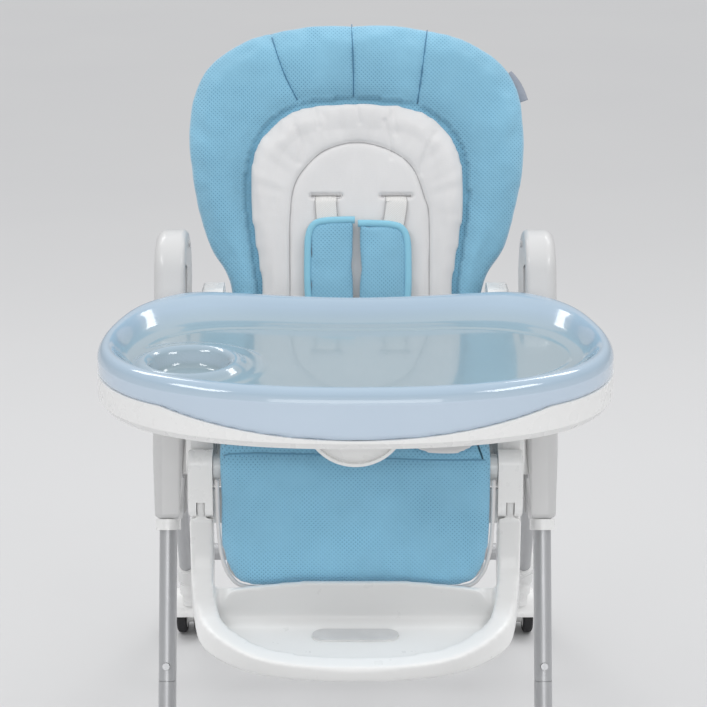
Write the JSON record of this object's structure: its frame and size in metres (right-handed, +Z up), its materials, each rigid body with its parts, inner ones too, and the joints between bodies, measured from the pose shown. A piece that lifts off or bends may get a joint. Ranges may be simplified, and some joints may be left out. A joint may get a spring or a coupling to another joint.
{
  "type": "baby high chair",
  "caption": "Folding baby high chair with a padded reclining seat, a removable tray with cup recess, a hinged legrest and footrest, leaning side posts and rear casters.",
  "frame": {"origin": "on the floor, under the middle of the overall box", "axes": "+Z up, -Y is the way the child faces, +X is to the right as seen from the front"},
  "size_m": [0.524, 0.7878, 0.8687],
  "materials": {
    "white_plastic": "satin gloss white moulding",
    "tray_blue": "pale blue gloss moulding",
    "blue_fabric": "blue coated cloth with a fine dot pattern",
    "white_fabric": "white padded cloth",
    "webbing": "white woven webbing",
    "silver_tube": "satin silver powder coat",
    "steel": "plated steel",
    "black_tyre": "black tyre",
    "dark_plastic": "dark grey button",
    "grey_grip": "light grey grip insert"
  },
  "bodies": {
    "frame": {"front_leg_right": "silver_tube", "front_leg_left": "silver_tube", "front_base_tube": "silver_tube", "front_feet": "grey_grip", "leg_collars": "white_plastic", "housing_outer_right": "white_plastic", "housing_outer_left": "white_plastic", "housing_inner_right": "white_plastic", "housing_inner_left": "white_plastic", "housing_screws": "steel", "fold_pins": "steel"},
    "rear_legs": {"rear_leg_right": "silver_tube", "rear_leg_left": "silver_tube", "rear_knuckles": "white_plastic", "rear_cross_tube": "silver_tube", "caster_socket_right": "white_plastic", "caster_socket_left": "white_plastic"},
    "seat": {"seat_shell": "white_plastic", "seat_carriage_right": "white_plastic", "seat_carriage_left": "white_plastic", "armrest_right": "white_plastic", "armrest_left": "white_plastic", "recline_pins": "steel", "seat_pad": "blue_fabric", "crotch_strap": "webbing", "waist_straps": "webbing", "harness_buckle": "white_plastic"},
    "backrest": {"backrest_shell": "white_plastic", "backrest_pad": "blue_fabric", "liner_pad": "white_fabric", "shoulder_straps": "webbing", "shoulder_pad_right": "blue_fabric", "shoulder_pad_left": "blue_fabric"},
    "recline_handle": {"recline_lever": "white_plastic"},
    "legrest": {"legrest_board": "white_plastic", "legrest_pad": "blue_fabric", "legrest_arms": "white_plastic", "legrest_pins": "steel"},
    "footrest": {"footrest_frame": "white_plastic", "footrest_insert": "grey_grip"},
    "tray": {"tray_base": "white_plastic"},
    "tray_top": {"tray_insert": "tray_blue"},
    "tray_pull": {"tray_lever": "white_plastic"},
    "harness_release": {"buckle_button": "tray_blue"},
    "caster_right": {"caster_hood_right": "white_plastic", "caster_axle_right": "steel"},
    "wheel_right": {"wheel_hubs_right": "white_plastic", "wheel_tyres_right": "black_tyre"},
    "brake_right": {"brake_pedal_right": "dark_plastic"},
    "height_release_right": {"height_button_right": "grey_grip"},
    "snap_right": {"snap_button_right": "steel"},
    "fold_release_right": {"fold_button_right": "dark_plastic"},
    "caster_left": {"caster_hood_left": "white_plastic", "caster_axle_left": "steel"},
    "wheel_left": {"wheel_hubs_left": "white_plastic", "wheel_tyres_left": "black_tyre"},
    "brake_left": {"brake_pedal_left": "dark_plastic"},
    "height_release_left": {"height_button_left": "grey_grip"},
    "snap_left": {"snap_button_left": "steel"},
    "fold_release_left": {"fold_button_left": "dark_plastic"}
  },
  "joints": [
    {"name": "fold_hinge", "type": "hinge", "parent": "frame", "child": "rear_legs", "pos_m": [0, -0.02248, 0.44411], "axis": [-1, 0, 0], "range_deg": [0, 58]},
    {"name": "seat_height", "type": "slide", "parent": "frame", "child": "seat", "axis": [0, 0.3746, 0.9272], "range_m": [0, 0.15]},
    {"name": "recline_hinge", "type": "hinge", "parent": "seat", "child": "backrest", "pos_m": [0, 0.057, 0.4636], "axis": [-1, 0, 0], "range_deg": [0, 45]},
    {"name": "recline_squeeze", "type": "slide", "parent": "backrest", "child": "recline_handle", "axis": [0, 0.32, 0.9474], "range_m": [0, 0.008], "stiffness_N_per_m": 400, "springref_m": -0.002},
    {"name": "legrest_hinge", "type": "hinge", "parent": "seat", "child": "legrest", "pos_m": [0, -0.205, 0.462], "axis": [1, 0, 0], "range_deg": [-60, 0]},
    {"name": "footrest_hinge", "type": "hinge", "parent": "legrest", "child": "footrest", "pos_m": [0, -0.212, 0.42], "axis": [-1, 0, 0], "range_deg": [0, 35]},
    {"name": "tray_slide", "type": "slide", "parent": "seat", "child": "tray", "axis": [0, -1, 0], "range_m": [0, 0.06]},
    {"name": "tray_top_lift", "type": "slide", "parent": "tray", "child": "tray_top", "axis": [0, 0, 1], "range_m": [0, 0.08]},
    {"name": "tray_pull_slide", "type": "slide", "parent": "tray", "child": "tray_pull", "axis": [0, -1, 0], "range_m": [0, 0.01], "stiffness_N_per_m": 400, "springref_m": -0.002},
    {"name": "harness_press", "type": "slide", "parent": "seat", "child": "harness_release", "axis": [0, 0, -1], "range_m": [0, 0.0025], "stiffness_N_per_m": 600, "springref_m": -0.001},
    {"name": "caster_swivel_right", "type": "hinge", "parent": "rear_legs", "child": "caster_right", "pos_m": [0.226, 0.329, 0.0666], "axis": [0, 0, 1], "continuous": true},
    {"name": "wheel_spin_right", "type": "hinge", "parent": "caster_right", "child": "wheel_right", "pos_m": [0.226, 0.349, 0.028], "axis": [1, 0, 0], "continuous": true},
    {"name": "brake_press_right", "type": "hinge", "parent": "caster_right", "child": "brake_right", "pos_m": [0.226, 0.37269, 0.05169], "axis": [-1, 0, 0], "range_deg": [0, 18]},
    {"name": "height_press_right", "type": "slide", "parent": "seat", "child": "height_release_right", "axis": [-1, 0, 0], "range_m": [0, 0.004], "stiffness_N_per_m": 400, "springref_m": -0.001},
    {"name": "snap_press_right", "type": "slide", "parent": "frame", "child": "snap_right", "axis": [0, 0.9272, -0.3746], "range_m": [0, 0.004], "stiffness_N_per_m": 400, "springref_m": -0.001},
    {"name": "fold_press_right", "type": "slide", "parent": "frame", "child": "fold_release_right", "axis": [-1, 0, 0], "range_m": [0, 0.004], "stiffness_N_per_m": 400, "springref_m": -0.001},
    {"name": "caster_swivel_left", "type": "hinge", "parent": "rear_legs", "child": "caster_left", "pos_m": [-0.226, 0.329, 0.0666], "axis": [0, 0, 1], "continuous": true},
    {"name": "wheel_spin_left", "type": "hinge", "parent": "caster_left", "child": "wheel_left", "pos_m": [-0.226, 0.349, 0.028], "axis": [1, 0, 0], "continuous": true},
    {"name": "brake_press_left", "type": "hinge", "parent": "caster_left", "child": "brake_left", "pos_m": [-0.226, 0.37269, 0.05169], "axis": [-1, 0, 0], "range_deg": [0, 18]},
    {"name": "height_press_left", "type": "slide", "parent": "seat", "child": "height_release_left", "axis": [1, 0, 0], "range_m": [0, 0.004], "stiffness_N_per_m": 400, "springref_m": -0.001},
    {"name": "snap_press_left", "type": "slide", "parent": "frame", "child": "snap_left", "axis": [0, 0.9272, -0.3746], "range_m": [0, 0.004], "stiffness_N_per_m": 400, "springref_m": -0.001},
    {"name": "fold_press_left", "type": "slide", "parent": "frame", "child": "fold_release_left", "axis": [1, 0, 0], "range_m": [0, 0.004], "stiffness_N_per_m": 400, "springref_m": -0.001}
  ]
}
